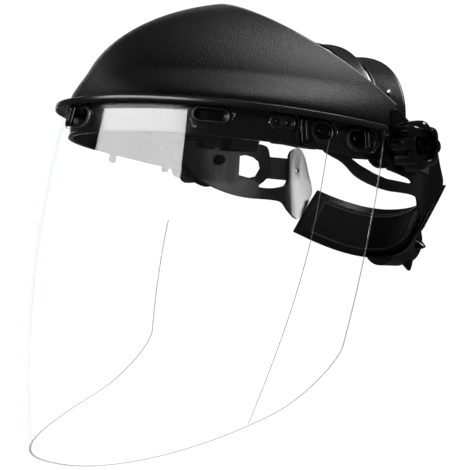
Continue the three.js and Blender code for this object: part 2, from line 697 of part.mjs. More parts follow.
const headgear = group('headgear_group');
piece(headgear, 'front_headband', frontHeadband(), 'frame');
piece(headgear, 'sweatband', sweatband(), 'pad');
for (const [side, word] of [[1, 'left'], [-1, 'right']]) {
  piece(headgear, `side_arm_${word}`, sideArm(side), 'frame');
  piece(headgear, `bridge_tab_${word}`, bridgeTab(side), 'strap');
  piece(headgear, `pivot_post_${word}`, pivotPost(side), 'frame');
  piece(headgear, `pivot_bolt_${word}`, pivotBolt(side), 'metal');
}
piece(headgear, 'top_strap_front', topStrap(TOP_FRONT), 'strap');
piece(headgear, 'top_strap_rear', topStrap(TOP_REAR), 'strap');
piece(headgear, 'top_pin_left', topPin(TOP_REAR, PIN.angle), 'metal');
piece(headgear, 'top_pin_right', topPin(TOP_REAR, 180 - PIN.angle), 'metal');

const shield = group('shield_group');
piece(shield, 'crown', crown(), 'crown');
piece(shield, 'rim_lip', rimLip(), 'lip');
piece(shield, 'brow_band', browBand(), 'band');
piece(shield, 'window', windowSheet(), 'window');
for (const hook of HOOKS) piece(shield, hook.name, windowHook(hook), 'hook');
for (const [side, word] of [[1, 'left'], [-1, 'right']]) {
  piece(shield, `tension_washer_${word}`, tensionWasher(side), 'metal');
}

for (const [side, word] of [[1, 'left'], [-1, 'right']]) {
  piece(group(`tension_knob_${word}_group`), `tension_knob_${word}`, tensionKnob(side), 'knob');
}

const nape = group('nape_group');
piece(nape, 'nape_band', napeBand(), 'frame');
piece(nape, 'nape_pad', napePad(), 'pad');
piece(nape, 'rack_strap_left', rackStrap(1), 'strap');
piece(nape, 'rack_strap_right', rackStrap(-1), 'strap');
piece(nape, 'ratchet_housing', ratchetHousing(), 'frame');
piece(group('ratchet_knob_group'), 'ratchet_knob', ratchetKnob(), 'knob');

export default object;
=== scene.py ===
"""Looks for a tilting safety face shield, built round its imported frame.

Shapes are worked out in millimetres and turned into metres when a piece is made.
The origin is the middle of the tilt axis, +Z is up, and the wearer faces -Y.
"""

import json
import math

import bmesh
import bpy
import numpy as np
from mathutils import Matrix, Vector

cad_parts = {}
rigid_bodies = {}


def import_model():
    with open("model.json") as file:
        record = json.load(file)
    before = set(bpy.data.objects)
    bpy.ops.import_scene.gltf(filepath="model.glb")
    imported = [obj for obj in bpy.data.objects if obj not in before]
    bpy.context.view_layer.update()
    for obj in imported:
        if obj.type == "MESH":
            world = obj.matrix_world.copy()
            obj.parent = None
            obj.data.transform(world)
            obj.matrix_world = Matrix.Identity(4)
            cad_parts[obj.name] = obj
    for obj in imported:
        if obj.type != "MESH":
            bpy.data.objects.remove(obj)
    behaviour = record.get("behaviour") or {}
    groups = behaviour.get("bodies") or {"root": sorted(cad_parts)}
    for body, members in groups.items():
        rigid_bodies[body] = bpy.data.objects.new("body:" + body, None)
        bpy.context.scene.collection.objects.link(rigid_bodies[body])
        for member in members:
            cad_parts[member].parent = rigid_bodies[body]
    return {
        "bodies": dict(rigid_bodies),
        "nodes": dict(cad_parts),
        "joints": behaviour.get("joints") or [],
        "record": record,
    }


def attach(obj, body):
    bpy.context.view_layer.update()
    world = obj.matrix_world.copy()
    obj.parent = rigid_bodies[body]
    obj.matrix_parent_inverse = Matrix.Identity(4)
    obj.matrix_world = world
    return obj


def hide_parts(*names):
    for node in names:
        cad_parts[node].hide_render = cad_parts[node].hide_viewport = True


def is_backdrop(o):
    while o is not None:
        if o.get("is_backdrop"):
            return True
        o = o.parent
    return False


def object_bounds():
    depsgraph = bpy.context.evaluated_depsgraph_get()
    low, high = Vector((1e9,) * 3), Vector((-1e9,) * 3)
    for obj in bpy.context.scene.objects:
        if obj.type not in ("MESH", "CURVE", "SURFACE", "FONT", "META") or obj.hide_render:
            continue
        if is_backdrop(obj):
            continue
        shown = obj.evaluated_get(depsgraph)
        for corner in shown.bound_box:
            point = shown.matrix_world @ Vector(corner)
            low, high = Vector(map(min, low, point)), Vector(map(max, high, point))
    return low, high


# -------------------- driving dimensions, in mm
MM = 0.001
PLAN = dict(side=94.7, front=156.2, power=2.065)
RIM_Z = 22.0
RIM_SLOPE = 6.0
RIM_BOW = 7.0
BAND_HEIGHT = 20.0
BAND_WALL = 2.6
BAND_END = 86.0
LIP = dict(side=10.2, front=8.2, end=84.5, half=1.5, droop=2.2)
GAP = 0.35

CROWN = dict(side=99.6, front=155.4, height=73.5, wall=2.4, back=7.0,
             side_power=1.5, front_power=2.02, base_power=2.06, top_power=1.63, end=85.6)
CROWN_CUT = dict(start=16.0, lean=-116.9, curve=33.8, line=1.0)   # line: depth of the pale band along its edge, a painted highlight
CROWN_ROWS_POWER = 0.85            # draws the dome's rows closer together at its top
EAR = dict(x=97.0, thick=2.6)

# line pressed into the sheet: its plan angle falls by sweep below straight, a share of the height
SCORE = dict(deg=72.6, straight=0.28, sweep=17.5, power=2.3, top=0.09, foot=0.992, mm_per_deg=1.7,
             half=0.17, rise=0.06, sunk=0.02)

WINDOW = dict(gap=0.7, thick=1.3, height=203.0, top=0.014, end=86.3, corner=15.3,
              corner_start=0.88, lean=-28.1, squarer=0.313, side_swell=21.9, side_tuck=-26.6,
              front_swell=24.8, front_tuck=-37.9, hem_rise=49.3, hem_bow=19.25)

# oval bosses on the band: plan angle, length, height, middle's height over the band's foot
BOSSES = [
    (-3, 25, 12, 9.5), (43, 22, 9.5, 11.5), (60.6, 16.5, 8.5, 12), (70.2, 15, 12.5, 10.2),
    (80, 21, 12.5, 9.6), (-43, 22, 9.5, 11.5), (-57, 15, 8.5, 12), (-67, 15, 12.5, 10.2),
    (-80, 21, 12.5, 9.6),
]
BOSS_PLAIN = (1, 2, 6)             # bosses with an empty pocket
BOSS_PLATES = (3, 7)               # bosses with a paler plate in the pocket
BOSS_RISE = 3.0
BOSS_RING = 2.0
SLOT_GAP = 0.6                     # room round a boss in its slot

# hooks that hold the window: CAD node, plan angle, width, middle's height, height
HOOKS = [
    ("window_hook_centre", -4, 8, 10, 13), ("window_hook_left_1", 65.3, 6.5, 8.2, 16),
    ("window_hook_left_2", 80.4, 4.5, 9.2, 13), ("window_hook_right_1", -62, 6.5, 5.6, 19),
    ("window_hook_right_2", -80.4, 6.0, 6.4, 17),
]
HOOK_OUT = 5.0
HOOK_THICK = 1.8
HOOK_LEAN = dict(side=8, front=7)  # degrees: at the sides, and how much more in front
STEM = dict(half=1.6, up=10.4, tall=3.0)

RING = dict(half=77.0, reach=88.5, middle=-3.3, power=2.15)
FRAME_WALL = 2.2
NAPE = dict(top_back=-31.0, top_end=-17.0, low_back=-64.0, low_end=-47.0, top_angle=41.0,
            low_angle=51.5, offset=9.3, ref_z=-18.0, slope=0.44)
PAD_THICK = 4.5
PIPING = 0.45                      # radius of the sewn cord round a pad
PAD_PRESSURE = 4.0
PAD_FRAMES = 20                    # frames of the cloth simulation
SWEATBAND = dict(end=59.0, front=0.6, back=4.5)

PIVOT = dict(knob_x=102.0, depth=17.0, bolt=3.2)
KNOB_LOBES = 8
KNOB_LOBE_HALF = 1.75              # half of a lobe's height
RATCHET = dict(z=-51.5, knob_y=94.35, radius=15.5, tip=22.0, spikes=6, turn=-72.0, shaft=4.4, inside=8.0)

TOP_FRONT = dict(y0=-10.0, y_top=10.0, half=73.0, rise=66.5, wide=16.0)
TOP_REAR = dict(y0=15.5, y_top=37.5, half=70.9, rise=61.5, wide=24.0)
STRAP_FOOT = 4.0
STRAP_HOLES = dict(count=9, step=7, radius=1.5)   # step in degrees round the arch

# -------------------- camera and floor, in metres
CAMERA_AT = Vector((0.74193, -0.630075, -0.075369))
CAMERA_RIGHT = Vector((0.60966919, 0.79226544, 0.02487878))
CAMERA_UP = Vector((0.00801347, -0.0375455, 0.99926279))
LENS = 116.98
SENSOR = 36.0
SHIFT = (0.03974, -0.01866)
FLOOR_DROP = 0.004
PALE = 1.07                        # brightness of the floor and of the backdrop
FILL = 0.07                        # brightness of the backdrop as a light
MIDDLE = (0, -0.04, -0.03)         # middle of the object

# softboxes, in metres and watts: name, place, target, size, power, diffuse or glossy if it is kept
# out of that, and, if it lights only some pieces, INCLUDE or EXCLUDE and how their names start;
# front is the bright patch on the window, and yoke is the pale patch on the far arm
SOFTBOXES = [
    ("front_softbox", (0.42, -1.43, 0.98), (0.42, 0, 0.98), (2.22, 1.04), 70, "diffuse",
     "EXCLUDE", ["crown", "tension_knob", "ratchet", "brow_band", "boss"]),
    ("band_softbox", (0.28, -1.43, 0.7), (0.28, 0, 0.7), (1.94, 1.6), 94, "diffuse",
     "INCLUDE", ["brow_band", "boss"]),
    ("top_softbox", (0.22, 0.59, 1.27), (0.084, -0.056, 0.031), (0.5, 0.5), 8, None, None, None),
    ("near_softbox", (1.3, 0.9, 0.5), MIDDLE, (0.5, 0.8), 2.5, "glossy", None, None),
    ("far_softbox", (-1.4, 0.6, 0.4), MIDDLE, (0.9, 1.0), 5, None, "EXCLUDE", ["window_sheet"]),
    ("dome_softbox", (-0.9, -1.1, 0.8), (0, -0.1, 0.03), (1.4, 1.0), 4.5, None, "INCLUDE", ["crown"]),
    ("yoke_softbox", (1.37, 0.726, 0.374), (-0.062, 0.058, -0.02), (0.97, 0.4), 21, None,
     "INCLUDE", ["side_arm_right"]),
]


# -------------------- small tools
def mix(a, b, t):
    return a + (b - a) * t


def ease(t):
    return t * t * (3 - 2 * t)


def sind(deg):
    return np.sin(np.radians(deg))


def cosd(deg):
    return np.cos(np.radians(deg))


def curl(value, power):
    return np.sign(value) * np.abs(value) ** power


def oval(deg, half_wide, half_long, power):
    e = 2 / power
    return half_wide * curl(sind(deg), e), -half_long * curl(cosd(deg), e)


def stack(x, y, z):
    x, y, z = np.broadcast_arrays(x, y, z)
    return np.stack([x, y, z], -1).astype(float)


def shell(nu, nv, outer, inner):
    """Points and faces of a closed wall between two faces, each a function of u and v."""
    u, v = np.meshgrid(np.linspace(0, 1, nu + 1), np.linspace(0, 1, nv + 1))
    points = np.concatenate([outer(u, v).reshape(-1, 3), inner(u, v).reshape(-1, 3)])
    size = (nu + 1) * (nv + 1)
    i, j = np.meshgrid(np.arange(nu), np.arange(nv))
    a = (j * (nu + 1) + i).ravel()
    front = np.stack([a, a + 1, a + nu + 2, a + nu + 1], 1)
    back = front[:, ::-1] + size
    row = np.arange(nu)
    top = nv * (nu + 1) + row
    low_rim = np.stack([row + size, row + 1 + size, row + 1, row], 1)
    top_rim = np.stack([top, top + 1, top + 1 + size, top + size], 1)
    col = np.arange(nv) * (nu + 1)
    end = col + nu
    start_rim = np.stack([col, col + nu + 1, col + nu + 1 + size, col + size], 1)
    end_rim = np.stack([end + size, end + nu + 1 + size, end + nu + 1, end], 1)
    rims = [low_rim, top_rim, start_rim, end_rim]
    return points, np.concatenate([front, back, *rims]), len(front) * 2


def swept(steps, section, place):
    """Points and faces of a bar: the section, a list of (a, b), carried along by place(t, a, b)."""
    n = len(section)
    points = [place(k / steps, a, b) for k in range(steps + 1) for a, b in section]
    faces = []
    for k in range(steps):
        here, there = k * n, (k + 1) * n
        for i in range(n):
            j = (i + 1) % n
            faces.append((here + i, here + j, there + j, there + i))
    faces.append(tuple(range(n))[::-1])
    faces.append(tuple(steps * n + i for i in range(n)))
    return np.array(points, float), faces


def make(name, points, faces, material, smooth=True):
    """A mesh object from points in mm, with its faces turned outward."""
    mesh = bpy.data.meshes.new(name)
    mesh.from_pydata((np.asarray(points) * MM).tolist(), [], [tuple(map(int, f)) for f in faces])
    mesh.validate()
    shape = bmesh.new()
    shape.from_mesh(mesh)
    bmesh.ops.recalc_face_normals(shape, faces=shape.faces)
    shape.to_mesh(mesh)
    shape.free()
    mesh.polygons.foreach_set("use_smooth", [smooth] * len(mesh.polygons))
    piece = bpy.data.objects.new(name, mesh)
    bpy.context.scene.collection.objects.link(piece)
    if material:
        mesh.materials.append(material)
    return piece


def apply_modifiers(piece):
    graph = bpy.context.evaluated_depsgraph_get()
    made = bpy.data.meshes.new_from_object(piece.evaluated_get(graph))
    old = piece.data
    piece.modifiers.clear()
    piece.data = made
    bpy.data.meshes.remove(old)
    return piece


def round_edges(piece, width, segments=3, angle=35, weld=0.0):
    """Rounded edges by modifiers: width in mm."""
    if weld:
        piece.modifiers.new("weld", "WELD").merge_threshold = weld * MM
    bevel = piece.modifiers.new("round", "BEVEL")
    bevel.width = width * MM
    bevel.segments = segments
    bevel.limit_method = "ANGLE"
    bevel.angle_limit = math.radians(angle)
    bevel.use_clamp_overlap = True
    bevel.miter_outer = "MITER_ARC"
    normals = piece.modifiers.new("normals", "WEIGHTED_NORMAL")
    normals.keep_sharp = True
    return piece


def finish_piece(piece, body, slot, *replaced):
    """Says what a piece rides on and hides the CAD nodes that it stands for; slot, its finish, is not used.
    """
    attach(piece, body)
    if replaced:
        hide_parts(*replaced)
    return piece


def add_piece(name, shape, material, body, slot, *replaced, width=0, segments=2, angle=50):
    """Makes a piece from its points and faces, rounds its edges and says what it rides on."""
    piece = make(name, *shape, material)
    if width:
        round_edges(piece, width, segments, angle)
    return finish_piece(piece, body, slot, *replaced)


# -------------------- shield surfaces
def rim_fall(y):
    u = (y + PLAN["front"]) / PLAN["front"]
    return -RIM_SLOPE * u - RIM_BOW * u * u


def band_point(deg, out_side, out_front, lift):
    """A point of the brow band's plan, pushed out and lifted from the rim."""
    x, y = oval(deg, PLAN["side"] + out_side, PLAN["front"] + out_front, PLAN["power"])
    _, y_band = oval(deg, PLAN["side"], PLAN["front"], PLAN["power"])
    return stack(x, y, RIM_Z + lift + rim_fall(y_band))


def window_point(v, deg, out):
    """A point of the sheet: v runs from its top to its hem, and out is outward from its inner face."""
    w = WINDOW
    side = PLAN["side"] + w["gap"] + out + w["side_swell"] * v + w["side_tuck"] * v * v
    front = PLAN["front"] + w["gap"] + out + w["front_swell"] * v + w["front_tuck"] * v * v
    x, y0 = oval(deg, side, front, PLAN["power"] + w["squarer"] * v)
    y = y0 + w["lean"] * v
    u = (y + PLAN["front"]) / PLAN["front"]
    fall = mix(-RIM_SLOPE, w["hem_rise"], v) * u + mix(-RIM_BOW, w["hem_bow"], v) * u * u
    return stack(x, y, RIM_Z - w["height"] * v + fall)


def crown_point(s, deg, inset):
    """A point of the crown: s is the height fraction, inset moves it into the wall."""
    c = CROWN
    power = mix(c["base_power"], c["top_power"], ease(np.clip(s / 0.25, 0, 1)))
    side = (c["side"] - inset) * (1 - s ** c["side_power"]) ** (1 / c["side_power"])
    front = (c["front"] + c["back"] - inset) * (1 - s ** c["front_power"]) ** (1 / c["front_power"])
    x, y = oval(deg, side, front, power)
    y = y + c["back"]
    z = RIM_Z + mix(LIP["half"] - GAP, c["height"] - inset, s)
    return stack(x, y, z + rim_fall(np.minimum(y, 6)) * (1 - s) ** 2)


def crown_top(deg):
    """Height fraction where the crown's open edge crosses a plan angle."""
    low, high = np.zeros_like(deg), np.full_like(deg, 0.985)
    for _ in range(30):
        s = (low + high) / 2
        edge = CROWN_CUT["start"] + CROWN_CUT["lean"] * s + CROWN_CUT["curve"] * s * s
        ahead = crown_point(s, deg, 0)[..., 1] < edge
        low, high = np.where(ahead, s, low), np.where(ahead, high, s)
    return np.maximum(low, 0.03)


def band_frame(deg, up):
    """A frame standing on the band: x along it, y up, z out. Its numbers are mm."""
    here, ahead = (Vector(band_point(d, 0, 0, up - BAND_HEIGHT)) for d in (deg, deg + 0.5))
    along = ahead - here
    along.z = 0
    along.normalize()
    upward = Vector((0, 0, 1))
    outward = along.cross(upward)
    frame = Matrix((along, upward, outward)).transposed().to_4x4()
    frame.translation = here
    return frame


def band_local(deg, up):
    """A map from (along, up, out) near a place on the band to points that follow the band."""
    ahead = Vector(band_point(deg + 0.5, 0, 0, 0)) - Vector(band_point(deg - 0.5, 0, 0, 0))
    per_mm = 1.0 / math.hypot(ahead.x, ahead.y)

    def place(along, rise, out):
        return band_point(deg + along * per_mm, out, out, up + rise - BAND_HEIGHT)

    return place


# -------------------- headgear surfaces
def ring_point(deg, off, z):
    x, y = oval(deg, RING["half"] + off, RING["reach"] + off, RING["power"])
    return stack(x, y + RING["middle"], z)


def nape_point(u, v, out):
    """A point of the nape band: u along it, v down it, out from its middle surface."""
    side = 2 * u - 1
    top = NAPE["top_back"] + (NAPE["top_end"] - NAPE["top_back"]) * side * side
    low = NAPE["low_back"] + (NAPE["low_end"] - NAPE["low_back"]) * side * side
    z = mix(top, low, v)
    deg = 180 - side * mix(NAPE["top_angle"], NAPE["low_angle"], v)
    return ring_point(deg, NAPE["offset"] + NAPE["slope"] * (z - NAPE["ref_z"]) + out, z)


def strap_point(strap, deg, across, out):
    """A point of a strap over the head: deg round the arch, across its width in mm."""
    s = sind(deg)
    y = mix(strap["y0"], strap["y_top"], np.maximum(s, 0) ** 1.3) + across
    return stack((strap["half"] + out) * cosd(deg), y, STRAP_FOOT + (strap["rise"] + out) * s)


# -------------------- materials
class Nodes:
    """A material being built: short calls to add and join its nodes."""

    def __init__(self, name):
        self.material = bpy.data.materials.new(name)
        self.material.use_nodes = True
        self.tree = self.material.node_tree
        self.tree.nodes.clear()
        self.out = self.tree.nodes.new("ShaderNodeOutputMaterial")
        self.place = self.add("ShaderNodeTexCoord").outputs["Object"]

    def add(self, kind, **values):
        node = self.tree.nodes.new(kind)
        for key, value in values.items():
            if isinstance(value, bpy.types.NodeSocket):
                self.tree.links.new(value, node.inputs[key])
            elif key in node.inputs:
                node.inputs[key].default_value = value
            else:
                setattr(node, key, value)
        return node

    def link(self, source, target):
        self.tree.links.new(source, target)

    def noise(self, scale, detail=3.0, rough=0.55):
        node = self.add("ShaderNodeTexNoise", Scale=scale, Detail=detail, Roughness=rough)
        self.link(self.place, node.inputs["Vector"])
        return node.outputs["Fac"]

    def cells(self, scale, feature="F1"):
        node = self.add("ShaderNodeTexVoronoi", Scale=scale)
        node.feature = feature
        self.link(self.place, node.inputs["Vector"])
        return node.outputs["Distance"]

    def ramp(self, source, low, high, first=(0, 0, 0, 1), last=(1, 1, 1, 1)):
        node = self.add("ShaderNodeValToRGB")
        node.color_ramp.elements[0].position = low
        node.color_ramp.elements[1].position = high
        node.color_ramp.elements[0].color = first
        node.color_ramp.elements[1].color = last
        self.link(source, node.inputs["Fac"])
        return node.outputs["Color"]

    def range(self, source, low, high, from_low=0.0, from_high=1.0):
        node = self.add("ShaderNodeMapRange")
        self.link(source, node.inputs["Value"])
        node.inputs["From Min"].default_value = from_low
        node.inputs["From Max"].default_value = from_high
        node.inputs["To Min"].default_value = low
        node.inputs["To Max"].default_value = high
        return node.outputs["Result"]

    def fill(self, sockets, values):
        """Links each value that is a socket, and sets the others as plain numbers or colours."""
        for socket, value in zip(sockets, values):
            if isinstance(value, bpy.types.NodeSocket):
                self.link(value, socket)
            else:
                socket.default_value = value

    def math(self, operation, a, b):
        node = self.add("ShaderNodeMath")
        node.operation = operation
        self.fill(node.inputs, (a, b))
        return node.outputs["Value"]

    def bump(self, height, strength, distance, normal=None):
        node = self.add("ShaderNodeBump", Strength=strength, Distance=distance)
        self.link(height, node.inputs["Height"])
        if normal:
            self.link(normal, node.inputs["Normal"])
        return node.outputs["Normal"]

    def colour_mix(self, factor, a, b):
        node = self.add("ShaderNodeMix")
        node.data_type = "RGBA"
        self.fill((node.inputs[0], node.inputs[6], node.inputs[7]), (factor, a, b))
        return node.outputs[2]

    def principled(self, base, roughness, normal, **others):
        """A Principled surface. Each of the others names an input, with _ in place of a space."""
        values = {name.replace("_", " "): value for name, value in others.items()}
        values.update({"Base Color": base, "Roughness": roughness, "Normal": normal})
        return self.surface(self.add("ShaderNodeBsdfPrincipled", **values).outputs[0])

    def surface(self, shader):
        self.link(shader, self.out.inputs["Surface"])
        return self.material


def grey(level, tint=0.0):
    return (level, level, level * (1 + tint), 1)


def moulded(name, level, rough, grain_size, grain, edge_lightening=0.25, coat=0.0, spread=0.08, ior=1.5,
            wave=0.12, polished_from=None):
    """Moulded plastic: cloudy colour, fine grain in mm, and edges a little lighter, as worn; on the boss
    rings the lighter tone and edges are a painted highlight.

    With polished_from, only the part behind that y in mm is fully glossy.
    """
    n = Nodes(name)
    clouds = n.noise(60, 4)
    fine = n.noise(1 / (grain_size * MM), 2)
    pits = n.cells(0.7 / (grain_size * MM))
    edge = n.ramp(n.add("ShaderNodeNewGeometry").outputs["Pointiness"], 0.52, 0.60)
    base = n.colour_mix(clouds, grey(level * 0.82), grey(level * 1.2, 0.02))
    # edges lighter by pointiness: wear, and on the boss rings a painted highlight
    lightened_edges = n.colour_mix(n.math("MULTIPLY", edge, edge_lightening), base, grey(min(1, level * 3 + 0.05)))
    roughness = n.math("ADD", n.range(clouds, rough - spread, rough + spread),
                       n.range(fine, -0.04, 0.04))
    height = n.math("ADD", fine, n.math("MULTIPLY", pits, 0.6))
    wavy = n.bump(n.noise(90, 1), wave, 0.4 * MM)
    normal = n.bump(height, grain, 0.15 * MM, wavy)
    gloss = 0.5
    if polished_from:
        depth = n.add("ShaderNodeSeparateXYZ", Vector=n.place).outputs["Y"]
        gloss = n.range(depth, 0.05, gloss, (polished_from - 3) * MM, (polished_from + 3) * MM)
    return n.principled(lightened_edges, roughness, normal, IOR=ior, Coat_Weight=coat, Coat_Roughness=0.06,
                        Specular_IOR_Level=gloss)


def pebbled(name, level):
    """The crown's pebbled plastic: fine rounded bumps with random lighter specks on their tops, which are
    partly a painted highlight.
    """
    n = Nodes(name)
    pebbles = n.cells(1500, feature="SMOOTH_F1")
    speck = n.noise(1100, 2, 0.7)
    clouds = n.noise(25, 2)
    shade = n.colour_mix(clouds, grey(level * 0.9), grey(level * 1.1, 0.03))
    # tops: lighter colour where the bumps stand highest: random speckle, and partly a painted highlight of
    # the bump tops
    tops = n.range(speck, 0.0, 1.0, 0.5, 0.72)
    base = n.colour_mix(n.math("MULTIPLY", tops, 0.8), shade, grey(level * 3.5, 0.02))
    height = n.math("ADD", n.math("MULTIPLY", pebbles, -0.6), speck)
    roughness = n.range(speck, 0.36, 0.52, 0.3, 0.7)
    return n.principled(base, roughness, n.bump(height, 0.75, 0.25 * MM), Specular_IOR_Level=0.4)


def padding(name, level):
    """Knitted cover over foam: a fine diagonal weave with fuzz."""
    n = Nodes(name)
    turn = n.add("ShaderNodeMapping")
    turn.inputs["Rotation"].default_value = (0.6, 0.4, 0.78)
    n.link(n.place, turn.inputs["Vector"])
    waves = []
    for direction in ("X", "Z"):
        wave = n.add("ShaderNodeTexWave", Scale=700.0, Distortion=1.2, Detail=1.0)
        wave.bands_direction = direction
        n.link(turn.outputs[0], wave.inputs["Vector"])
        waves.append(wave.outputs["Fac"])
    weave = n.math("MULTIPLY", waves[0], waves[1])
    fuzz = n.noise(2400, 3, 0.7)
    clouds = n.noise(45, 4)
    base = n.colour_mix(clouds, grey(level * 0.8), grey(level * 1.2))
    tone = n.colour_mix(n.math("MULTIPLY", weave, 0.25), base, grey(level * 1.8))
    height = n.math("ADD", weave, n.math("MULTIPLY", fuzz, 0.8))
    return n.principled(tone, n.range(fuzz, 0.75, 0.95), n.bump(height, 0.35, 0.25 * MM),
                        Specular_IOR_Level=0.2, Sheen_Weight=0.04, Sheen_Roughness=0.4)


def steel(name, level):
    """Turned steel, plated or blackened, with faint tool marks."""
    n = Nodes(name)
    brushed = n.noise(900, 5, 0.7)
    spots = n.noise(120, 3)
    base = n.colour_mix(spots, grey(level * 0.8), grey(level * 1.1, 0.02))
    return n.principled(base, n.range(brushed, 0.2, 0.42), n.bump(brushed, 0.2, 0.05 * MM), Metallic=1.0)


def clear_sheet(name):
    """Thin clear sheet: light goes straight through, and both faces reflect."""
    n = Nodes(name)
    facing = n.add("ShaderNodeLayerWeight", Blend=0.5).outputs["Facing"]
    grazing = n.math("POWER", facing, 5.0)
    reflect = n.ramp(grazing, 0.0, 1.0, grey(0.03), grey(0.25))
    haze = n.noise(14, 3)
    smears = n.noise(220, 4, 0.6)
    tint = n.colour_mix(n.math("POWER", facing, 9.0), (0.996, 0.997, 0.998, 1), (0.80, 0.82, 0.83, 1))
    through = n.add("ShaderNodeBsdfTransparent")
    n.link(tint, through.inputs["Color"])
    gloss = n.add("ShaderNodeBsdfGlossy", Color=reflect)
    n.link(n.range(smears, 0.02, 0.045), gloss.inputs["Roughness"])
    n.link(n.bump(haze, 0.15, 0.5 * MM), gloss.inputs["Normal"])
    both = n.add("ShaderNodeAddShader")
    n.link(through.outputs[0], both.inputs[0])
    n.link(gloss.outputs[0], both.inputs[1])
    return n.surface(both.outputs[0])


def sheet_edge(name):
    """The sheet's cut edge, which scatters light and shows pale grey."""
    n = Nodes(name)
    saw = n.noise(1800, 3)
    tone = n.colour_mix(saw, (0.50, 0.52, 0.54, 1), (0.70, 0.72, 0.73, 1))
    body = n.add("ShaderNodeBsdfPrincipled", Roughness=0.35)
    n.link(tone, body.inputs["Base Color"])
    n.link(n.bump(saw, 0.3, 0.1 * MM), body.inputs["Normal"])
    through = n.add("ShaderNodeBsdfTransparent", Color=(0.9, 0.92, 0.93, 1))
    both = n.add("ShaderNodeMixShader", Fac=0.62)
    n.link(through.outputs[0], both.inputs[1])
    n.link(body.outputs[0], both.inputs[2])
    return n.surface(both.outputs[0])


def make_materials():
    return {
        "crown": pebbled("pebbled_crown", 0.005),
        # cut: pale grey near the crown's open edge, a painted highlight of the light that edge catches
        "cut": moulded("crown_cut_edge", 0.3, 0.4, 0.5, 0.2),
        "lip": moulded("satin_lip", 0.03, 0.26, 0.5, 0.2),
        "band": moulded("gloss_band", 0.005, 0.2, 0.5, 0.12, edge_lightening=0.3, ior=1.35, wave=0.02),
        # ring: the boss rings' lighter tone and strong edge lightening are a painted highlight of their
        # glossy rims
        "ring": moulded("worn_ring", 0.03, 0.3, 0.5, 0.15, edge_lightening=0.5),
        "frame": moulded("satin_frame", 0.006, 0.2, 0.45, 0.15, edge_lightening=0.3),
        "yoke": moulded("polished_yoke", 0.006, 0.2, 0.45, 0.15, edge_lightening=0.3, polished_from=46),
        "grey": moulded("satin_grey", 0.09, 0.3, 0.5, 0.2),
        "housing": moulded("satin_housing", 0.02, 0.36, 0.5, 0.25),
        "strap": moulded("satin_strap", 0.006, 0.28, 0.5, 0.2, edge_lightening=0.4),
        "knob": moulded("gloss_knob", 0.004, 0.16, 0.6, 0.05, edge_lightening=0.12, coat=0.3, spread=0.03),
        "pad": padding("knitted_pad", 0.006),
        "thread": moulded("seam_thread", 0.07, 0.6, 0.3, 0.3),
        "steel": steel("plated_steel", 0.6),
        "black_steel": steel("black_steel", 0.012),
        "clear": clear_sheet("clear_sheet"),
        "edge": sheet_edge("sheet_edge"),
    }


# -------------------- shield pieces
def add_window(looks):
    """The clear sheet, fine enough for smooth reflections, with its slots cut."""
    w = WINDOW

    def face(out):
        def at(u, v):
            h = mix(w["top"], 1, 1 - (1 - v) ** 2)
            d = np.clip((h - w["corner_start"]) / (1 - w["corner_start"]), 0, 1)
            end = w["end"] - w["corner"] * (1 - np.sqrt(np.maximum(0, 1 - d * d)))
            return window_point(h, mix(-end, end, u), out)
        return at

    points, faces, clear_faces = shell(180, 80, face(w["thick"]), face(0))
    sheet = make("window_sheet", points, faces, looks["clear"])
    sheet.data.materials.append(looks["edge"])
    for polygon in list(sheet.data.polygons)[clear_faces:]:
        polygon.material_index = 1
    cutters = [slot_block(boss, SLOT_GAP) for boss in BOSSES]
    cutters += [stem_block(hook, GAP, -3, 12) for hook in HOOKS]
    cut_out(sheet, cutters)
    return finish_piece(sheet, "shield", "clear_window", "window")


def add_score_line(looks):
    """The fine line pressed into the sheet ahead of its left edge, from the band to the hem."""
    half, rise, sunk = SCORE["half"], SCORE["rise"], SCORE["sunk"]
    section = [(-half, -sunk), (half, -sunk), (half * 0.6, rise), (-half * 0.6, rise)]

    def place(t, a, b):
        v = mix(SCORE["top"], SCORE["foot"], t)
        sweep = SCORE["sweep"] * max(0.0, v - SCORE["straight"]) ** SCORE["power"]
        return window_point(v, SCORE["deg"] - sweep + a / SCORE["mm_per_deg"], WINDOW["thick"] + b)

    add_piece("window_score_line", swept(80, section, place), looks["edge"], "shield", "clear_window")


def slot_outline(long, tall, sides=12):
    """A rounded slot outline about the origin, in mm."""
    r, reach = tall / 2, long / 2 - tall / 2
    points = []
    for end in (1, -1):
        for k in range(sides + 1):
            angle = -math.pi / 2 + math.pi * k / sides
            points.append((end * (reach + r * math.cos(angle)), end * r * math.sin(angle)))
    return points


def block(outline, frame, depth0, depth1):
    """A straight-sided block on an outline, standing on a frame."""
    n = len(outline)
    points = [frame @ Vector((a, b, d)) for d in (depth0, depth1) for a, b in outline]
    faces = [(i, (i + 1) % n, n + (i + 1) % n, n + i) for i in range(n)]
    faces += [tuple(range(n))[::-1], tuple(range(n, 2 * n))]
    return [tuple(p) for p in points], faces


def slot_block(boss, grow):
    deg, long, tall, up = boss
    return block(slot_outline(long + 2 * grow, tall + 2 * grow), band_frame(deg, up), -8, 14)


def stem_block(hook, grow, depth0, depth1):
    _, deg, _, up, _ = hook
    half, tall = STEM["half"] + grow, STEM["tall"] / 2 + grow
    low, high = STEM["up"] - up - tall, STEM["up"] - up + tall
    outline = [(-half, low), (half, low), (half, high), (-half, high)]
    return block(outline, band_frame(deg, up), depth0, depth1)


def cut_out(piece, cutters):
    """Cuts blocks, each points and faces in mm, out of a closed piece."""
    points, faces = [], []
    for block_points, block_faces in cutters:
        faces += [tuple(len(points) + i for i in f) for f in block_faces]
        points += block_points
    tool = make("cutter", points, faces, None, smooth=False)
    for material in piece.data.materials:
        tool.data.materials.append(material)
    for polygon in tool.data.polygons:
        polygon.material_index = len(piece.data.materials) - 1
    cut = piece.modifiers.new("cut", "BOOLEAN")
    cut.operation = "DIFFERENCE"
    cut.solver = "EXACT"
    cut.use_self = True
    cut.object = tool
    apply_modifiers(piece)
    bpy.data.objects.remove(tool)
    return piece


